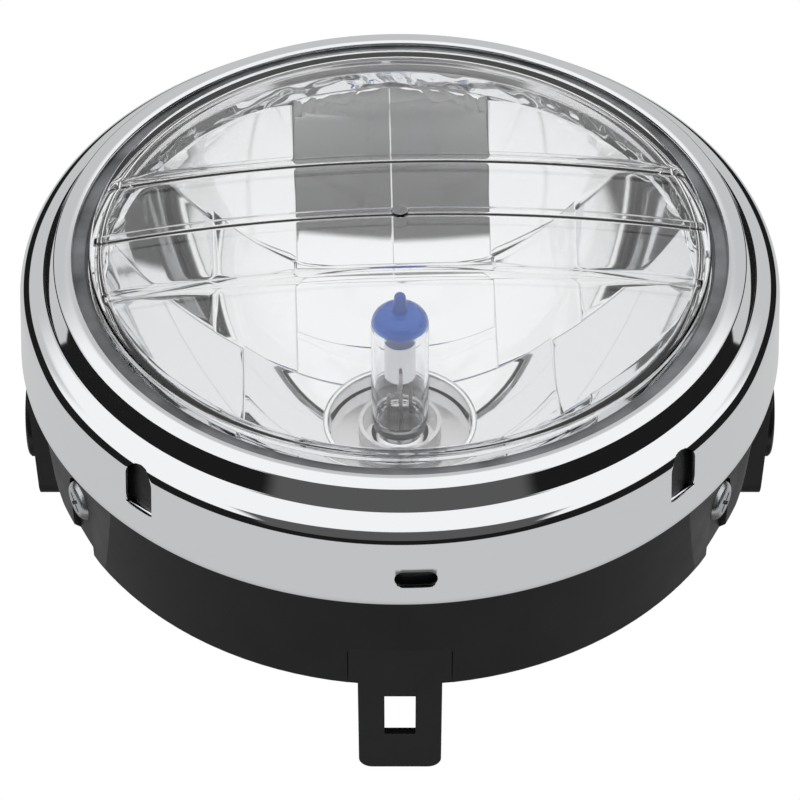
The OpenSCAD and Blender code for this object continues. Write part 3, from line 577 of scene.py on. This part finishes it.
reflector["focal"] = reflector["mouthR"] ** 2 / (4 * reflector["bowlDepth"])


def bowlHeight(r):
    # h = -mouth depth - bowl depth + r^2 / (4 focal)
    return -reflector["mouthDepth"] - reflector["bowlDepth"] + r ** 2 / (4 * reflector["focal"])


def borderSpaced(count):
    # even shares of a line with extra ones on the bevel at both ends, as two lists: how many
    # bevels to go, and what share of the rest
    near = np.array([0, 0.2, 0.5, 0.8])
    middle = np.linspace(0, 1, count)
    onBevel = np.concatenate([near, np.ones(count), (2 - near)[::-1]])
    onRest = np.concatenate([near * 0, middle, near * 0 + 1])
    return onBevel, onRest


def facetTile(cell, across, up, byColumns):
    # the ball's face over a cell: h = middle - sqrt(ball^2 - (x - middle x)^2 - (v - middle v)^2),
    # where the ball = 2 focal (1 + (r / 2 focal)^2) for the r where it touches; the back is the
    # parabola, a wall behind; byColumns says that the rows of the grid run up and not across
    x0, x1, v0, v1 = cell
    focal, mouth, neck = reflector["focal"], reflector["mouthR"], reflector["neckR"]
    bevel, drop = reflector["bevel"], reflector["bevelDrop"]
    flat = np.array([across * (x0 + x1), up * (v0 + v1)]) / 2
    p = flat * min(1, (mouth - reflector["farthest"]) / max(np.linalg.norm(flat), 1e-9))
    far = np.linalg.norm(p)
    ball = 2 * focal * (1 + (far / (2 * focal)) ** 2)
    inwards = unitVector(np.array([-p[0], -p[1], 2 * focal]))  # square to the parabola
    centre = np.array([p[0], p[1], bowlHeight(far)]) + ball * inwards
    onBevel, onRest = borderSpaced(reflector["steps"])
    lines0, lines1 = (x0, x1) if byColumns else (v0, v1)
    start, end = (v0, v1) if byColumns else (x0, x1)
    lines1 = min(lines1, math.sqrt(mouth ** 2 - max(start, 0) ** 2) - 0.05)
    b = min(bevel, (lines1 - lines0) / 4)
    main = (lines0 + b * onBevel + (lines1 - lines0 - 2 * b) * onRest)[:, None]
    low = np.maximum(start, np.sqrt(np.maximum(neck ** 2 - main ** 2, 0)) if start > 0 else start)
    high = np.minimum(end, np.sqrt(np.maximum(mouth ** 2 - main ** 2, 0)))
    b = np.minimum(bevel, (high - low) / 4)
    other = low + b * onBevel[None] + (high - low - 2 * b) * onRest[None]
    main = main + 0 * other
    x, v = (main, other) if byColumns else (other, main)
    edge = np.minimum(np.minimum(main - lines0, lines1 - main), np.minimum(other - low, high - other))
    x, v = x * (across if x0 >= 0 else 1), v * (up if v0 >= 0 else 1)
    front = centre[2] - np.sqrt(ball ** 2 - (x - centre[0]) ** 2 - (v - centre[1]) ** 2)
    front = np.minimum(front, bowlHeight(mouth)) - drop * np.clip(1 - edge / bevel, 0, 1) ** 2
    r = np.hypot(x, v)
    back = bowlHeight(r) - reflector["wall"] * np.sqrt(1 + (r / (2 * focal)) ** 2)
    back = np.minimum(back, front - reflector["leastWall"])
    rows, columns = x.shape
    count = rows * columns
    ring = np.concatenate([np.arange(columns), np.arange(1, rows) * columns + columns - 1,
                           (rows - 1) * columns + np.arange(columns - 1)[::-1],
                           np.arange(1, rows - 1)[::-1] * columns])
    sides = np.stack([ring, np.roll(ring, -1), np.roll(ring, -1) + count, ring + count], -1)
    faces = np.concatenate([gridFaces(rows, columns), gridFaces(rows, columns)[:, ::-1] + count, sides])
    points = np.concatenate([laid(x, v, front).reshape(-1, 3), laid(x, v, back).reshape(-1, 3)])
    return points, faces


def wavyWall(points):
    # the wall round the mouth is drawn in unevenly: its r changes by three sine waves round it, of
    # which two lean along h, and by nothing away from the wall
    out = np.stack([points[..., 0], points[..., 2]], -1) * 1000
    r, h = np.linalg.norm(out, axis=-1), -headlight["tiltDepth"] - points[..., 1] * 1000
    a = np.arctan2(out[..., 1], out[..., 0])
    wide, middling, small = reflector["waves"]
    wave = wide * np.sin(9 * a + 1.1 + 0.35 * h) + middling * np.sin(23 * a + 2.3 * np.sin(3 * a))
    wave = wave + small * np.sin(57 * a - 0.9 * h)
    onWall = smoothStep((reflector["mouthR"] + 1.0 - r) / 0.6) * smoothStep((h + 12.0) / 1.5)
    onWall = onWall * smoothStep((-7.2 - h) / 1.0)
    return points * np.stack([1 + wave * onWall / r, np.ones_like(r), 1 + wave * onWall / r], -1)


def makeReflector():
    # the facets, mirrored across and up, with the ring that carries them and the bulb's neck
    s = reflector
    cells = [((0, s["corner"], s["high"], s["mouthR"]), False),
             ((-s["inner"], s["inner"], s["crown"], s["high"]), False),
             ((-s["inner"], s["inner"], s["low"], s["crown"]), True),
             ((s["corner"], s["mouthR"], s["high"], s["mouthR"]), False),
             ((s["inner"], s["outer"], s["low"], s["high"]), False),
             ((s["outer"], s["mouthR"], s["low"], s["high"]), False),
             ((s["neckR"] / 2, s["cheek"], -s["low"], s["low"]), False),
             ((s["cheek"], s["mouthR"], -s["low"], s["low"]), False)]
    tiles = [facetTile(cell, across, up, byColumns) for cell, byColumns in cells
             for across in ([1] if cell[0] < 0 else [-1, 1]) for up in ([1] if cell[2] < 0 else [-1, 1])]
    wallR = s["mouthR"] - 0.35
    ring = [(s["mouthR"], s["seatTop"], 0.5), (s["seatR"], s["seatTop"], 0.2),
            (s["seatR"], s["flangeTop"], 0.2), (s["flangeR"], s["flangeTop"], 0.2),
            (s["flangeR"], s["flangeBack"], 0.3), (s["mouthR"] + 3.0, s["flangeBack"], 0.3),
            (s["mouthR"] + 2.2, s["wallBack"], 0), (wallR, s["wallBack"], 0), (wallR, s["wallTop"], 0.35)]
    neckTop = bowlHeight(s["neckR"]) + s["neckRise"]
    neck = [(s["neckR"], neckTop, 0.5), (s["neckR"] + 1.5, neckTop, 0.5),
            (s["neckR"] + 1.7, neckTop - 3, 0), (s["padR"], s["padTop"], 0),
            (s["padR"], s["padBack"], 0.4), (s["neckR"], s["padBack"], 0.3)]
    ringLine = spacedOut(roundedOutline(ring, 5, True), s["ringSpacing"])
    neckLine = spacedOut(roundedOutline(neck, 5, True), s["neckSpacing"])
    ringPoints, ringFaces = spunRound(ringLine, s["ringSteps"])
    parts = tiles + [(wavyWall(ringPoints), ringFaces), spunRound(neckLine, s["neckSteps"])]
    coat = finishes["mirror_coat"]
    madePiece("reflectorAluminised", parts, ["reflector"], coat, sharp=30.0)


makeReflector()

# Camera: from below and in front, as in the photograph
camera = {"place": (0.0, -0.5190, -0.5302), "target": (0.0, -0.0179, -0.0137),
          "lens": 122.57, "sensor": 36.0, "near": 0.01, "far": 100.0}


def makeCamera():
    data = bpy.data.cameras.new("photoCamera")
    data.lens, data.sensor_width, data.sensor_fit = camera["lens"], camera["sensor"], "AUTO"
    data.clip_start, data.clip_end = camera["near"], camera["far"]
    seen = bpy.data.objects.new("photoCamera", data)
    bpy.context.scene.collection.objects.link(seen)
    view = Vector(camera["target"]) - Vector(camera["place"])
    seen.location, seen.rotation_euler = camera["place"], view.to_track_quat("-Z", "Y").to_euler()
    bpy.context.scene.camera = seen
    print("camera")


makeCamera()

# Studio: the object is lit by an even world and three soft lamps. Mirrors and glass see a room
# for them: white above, a band of dark horizon, a grey table below, and a dark side in front
# with the camera. Levels are strengths, and a lamp has its place, its size in metres and watts
studio = {"fill": 0.8, "table": 0.6, "underLamp": 0.14, "horizon": 0.012, "skyGrey": 0.6,
          "cameraGrey": 0.1, "wedgeSlope": 0.69,
          "lamps": {"softTop": ((0.3, -0.9, 1.0), 0.9, 9.0), "softLeft": ((-1.1, -0.7, -0.1), 0.6, 4.0),
                    "softRight": ((1.1, -0.7, -0.1), 0.6, 4.0)}}


def roomSteps():
    # the room's level, step by step: a name, what is done, and its values, which are numbers or
    # the names of earlier steps. "ramp" goes smoothly from its fourth value to its fifth as the
    # first goes from the second to the third, and "mix" goes from its second value to its third
    # as the first goes from 0 to 1. Height is along -Y, the lens's way, and z is up
    return [
        ("height", "MULTIPLY", "y", -1.0),
        ("aside", "ABSOLUTE", "x"),
        ("behind", "ramp", "z", 0.2, 0.5, 0.0, 1.0),
        ("toSide", "ramp", "aside", 0.22, 0.42, 0.0, 1.0),
        ("straight", "mix", "toSide", "behind", 0.0),
        # the sky is white, but grey low down behind
        ("skyRise", "ramp", "height", 0.64, 0.73, studio["skyGrey"], 1.0),
        ("sky", "mix", "behind", 1.0, "skyRise"),
        # the dark horizon lies between its top and the table's edge, and is thin straight behind
        ("sideTop", "mix", "behind", 0.3, 0.42),
        ("horizonTop", "mix", "straight", "sideTop", 0.06),
        ("sideEdge", "mix", "behind", -0.41, -0.12),
        ("tableEdge", "mix", "straight", "sideEdge", -0.03),
        ("overTop", "SUBTRACT", "height", "horizonTop"),
        ("above", "ramp", "overTop", -0.03, 0.0, 0.0, 1.0),
        ("overEdge", "SUBTRACT", "height", "tableEdge"),
        ("below", "ramp", "overEdge", 0.0, -0.03, 0.0, 1.0),
        ("open", "mix", "above", studio["horizon"], "sky"),
        ("room", "mix", "below", "open", studio["table"]),
        ("under", "ramp", "height", -0.66, -0.8, 0.0, 1.0),
        ("level", "mix", "under", "room", studio["underLamp"]),
        # what leaves through the lens meets white, with a dark edge low down on both sides
        ("farAside", "ramp", "aside", 0.5, 0.65, 0.0, 1.0),
        ("lowDown", "ramp", "height", 0.26, 0.2, 0.0, 1.0),
        ("lowSides", "MULTIPLY", "farAside", "lowDown"),
        ("through", "mix", "lowSides", 1.0, studio["cameraGrey"]),
        ("seen", "mix", "transmission", "level", "through"),
        # the dark side in front: a wedge from the horizon up, and narrow across
        ("slope", "MULTIPLY_ADD", "height", studio["wedgeSlope"], "z"),
        ("front", "ramp", "slope", 0.01, -0.03, 0.0, 1.0),
        ("narrow", "ramp", "aside", 0.62, 0.54, 0.0, 1.0),
        ("wedge", "MULTIPLY", "front", "narrow"),
        ("raised", "ramp", "height", 0.0, 0.05, 0.0, 1.0),
        ("dark", "MULTIPLY", "wedge", "raised"),
        ("mirrored", "mix", "dark", "seen", studio["cameraGrey"]),
        # other rays meet the even fill, and the background is white
        ("polished", "MAXIMUM", "glossy", "transmission"),
        ("lighting", "mix", "polished", studio["fill"], "mirrored"),
        ("strength", "mix", "background", "lighting", 1.0)]


def makeWorld():
    world = bpy.data.worlds.new("studio")
    bpy.context.scene.world = world
    world.use_nodes = True
    tree = world.node_tree
    tree.nodes.clear()
    rays = addNode(tree, "ShaderNodeLightPath").outputs
    way = addNode(tree, "ShaderNodeTexCoord").outputs["Generated"]
    split = addNode(tree, "ShaderNodeSeparateXYZ", {"Vector": way}).outputs
    made = {"x": split["X"], "y": split["Y"], "z": split["Z"], "background": rays["Is Camera Ray"],
            "glossy": rays["Is Glossy Ray"], "transmission": rays["Is Transmission Ray"]}
    special = {"ramp": ("ShaderNodeMapRange", ("Value", "From Min", "From Max", "To Min", "To Max"),
                        {"interpolation_type": "SMOOTHSTEP"}),
               "mix": ("ShaderNodeMix", ("Factor", "A", "B"), {"data_type": "FLOAT"})}
    for name, action, *values in roomSteps():
        kind, sockets, settings = special.get(action, ("ShaderNodeMath", (0, 1, 2), {"operation": action}))
        inputs = {socket: made.get(value, value) for socket, value in zip(sockets, values)}
        made[name] = addNode(tree, kind, inputs, **settings).outputs[0]
    white = addNode(tree, "ShaderNodeBackground", {"Color": (1, 1, 1, 1), "Strength": made["strength"]})
    addNode(tree, "ShaderNodeOutputWorld", {"Surface": white.outputs["Background"]})
    print("world,", len(tree.nodes), "nodes")


makeWorld()


def addLamp(name, place, size, watts):
    data = bpy.data.lights.new(name, "AREA")
    data.energy, data.size, data.shape = watts, size, "DISK"
    lamp = bpy.data.objects.new(name, data)
    bpy.context.scene.collection.objects.link(lamp)
    lamp.visible_glossy, lamp.visible_transmission = False, False  # discs would show in the mirrors
    lamp.location, lamp.rotation_euler = place, (-Vector(place)).to_track_quat("-Z", "Y").to_euler()


for name, values in studio["lamps"].items():
    addLamp(name, *values)
print("lamps", len(studio["lamps"]))

# Floor below the camera: pale, and left out of what metal and glass see
floor = {"z": -0.64, "half": 3.0, "paper": "#F4F4F4"}  # metres


def makeFloor():
    mesh = bpy.data.meshes.new("studioFloor")
    e, z = floor["half"], floor["z"]
    mesh.from_pydata([(-e, -e, z), (e, -e, z), (e, e, z), (-e, e, z)], [], [(0, 1, 2, 3)])
    material, tree, shader = newMaterial("studioPaper", Base_Color=linearColour(floor["paper"]),
                                         Roughness=0.9)
    rays = addNode(tree, "ShaderNodeLightPath").outputs
    clear = addNode(tree, "ShaderNodeBsdfTransparent")
    unseen = addNode(tree, "ShaderNodeMath", {0: rays["Is Glossy Ray"], 1: rays["Is Transmission Ray"]},
                     operation="MAXIMUM").outputs[0]
    both = addNode(tree, "ShaderNodeMixShader", {0: unseen, 1: shader.outputs["BSDF"],
                                                 2: clear.outputs["BSDF"]})
    tree.links.new(both.outputs["Shader"], tree.nodes["Material Output"].inputs["Surface"])
    mesh.materials.append(material)
    piece = bpy.data.objects.new("studioFloor", mesh)
    bpy.context.scene.collection.objects.link(piece)
    print("floor")


makeFloor()
bpy.context.scene.view_settings.view_transform = "Standard"
